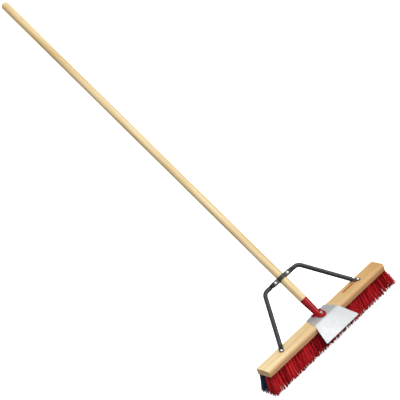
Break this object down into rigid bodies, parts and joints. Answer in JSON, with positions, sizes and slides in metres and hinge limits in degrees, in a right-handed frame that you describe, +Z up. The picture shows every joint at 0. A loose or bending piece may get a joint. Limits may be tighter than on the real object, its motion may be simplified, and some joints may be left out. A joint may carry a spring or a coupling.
{
  "type": "push broom",
  "caption": "Wide wooden push broom with two-tone stiff bristles, a braced angled handle in a cast socket and a sheet-metal scraper on the block.",
  "frame": {"origin": "centre of the plane of the bristle tips, where the broom stands on the floor", "axes": "+X along the block, -Y the sweeping direction (scraper side), +Z up; the handle leans up and towards +Y"},
  "size_m": [0.612, 1.1562, 1.2139],
  "materials": {
    "handle_wood": "clear lacquered pale hardwood",
    "block_wood": "sanded and clear coated hardwood",
    "red_enamel": "gloss red enamel on a casting",
    "galvanised_sheet": "bright galvanised sheet steel",
    "black_enamel": "semi-gloss black enamel on steel tube",
    "bright_zinc": "bright zinc plated",
    "dark_screw": "black oxide",
    "red_bristle": "coarse red synthetic bristle",
    "dark_bristle": "dark navy synthetic bristle",
    "staple_wire": "flat steel wire"
  },
  "bodies": {
    "head": {"brace": "black_enamel", "brace_screw_left": "bright_zinc", "brace_screw_right": "bright_zinc", "brush_block": "block_wood", "clamp_bolt_left": "bright_zinc", "clamp_bolt_right": "bright_zinc", "clamp_strap": "black_enamel", "clamp_washer_left": "bright_zinc", "clamp_washer_right": "bright_zinc", "dark_row_fourth": "dark_bristle", "dark_row_rear": "dark_bristle", "handle_socket": "red_enamel", "red_row_front": "red_bristle", "red_row_middle": "red_bristle", "red_row_second": "red_bristle", "scraper_blade": "galvanised_sheet", "socket_bolt_front": "bright_zinc", "socket_bolt_washer": "bright_zinc", "socket_screw_left": "dark_screw", "socket_screw_right": "dark_screw", "tuft_staples": "staple_wire"},
    "handle": {"handle": "handle_wood"},
    "left_wing_nut": {"wing_nut_left": "bright_zinc"},
    "right_wing_nut": {"wing_nut_right": "bright_zinc"}
  },
  "joints": [
    {"name": "handle_draw", "type": "slide", "parent": "head", "child": "handle", "axis": [0, 0.6884, 0.7254], "range_m": [0, 0.14]},
    {"name": "left_nut_spin", "type": "hinge", "parent": "head", "child": "left_wing_nut", "pos_m": [-0.031, 0.13428, 0.21822], "axis": [0, 0.7254, -0.6884], "continuous": true},
    {"name": "right_nut_spin", "type": "hinge", "parent": "head", "child": "right_wing_nut", "pos_m": [0.031, 0.13428, 0.21822], "axis": [0, 0.7254, -0.6884], "continuous": true}
  ]
}
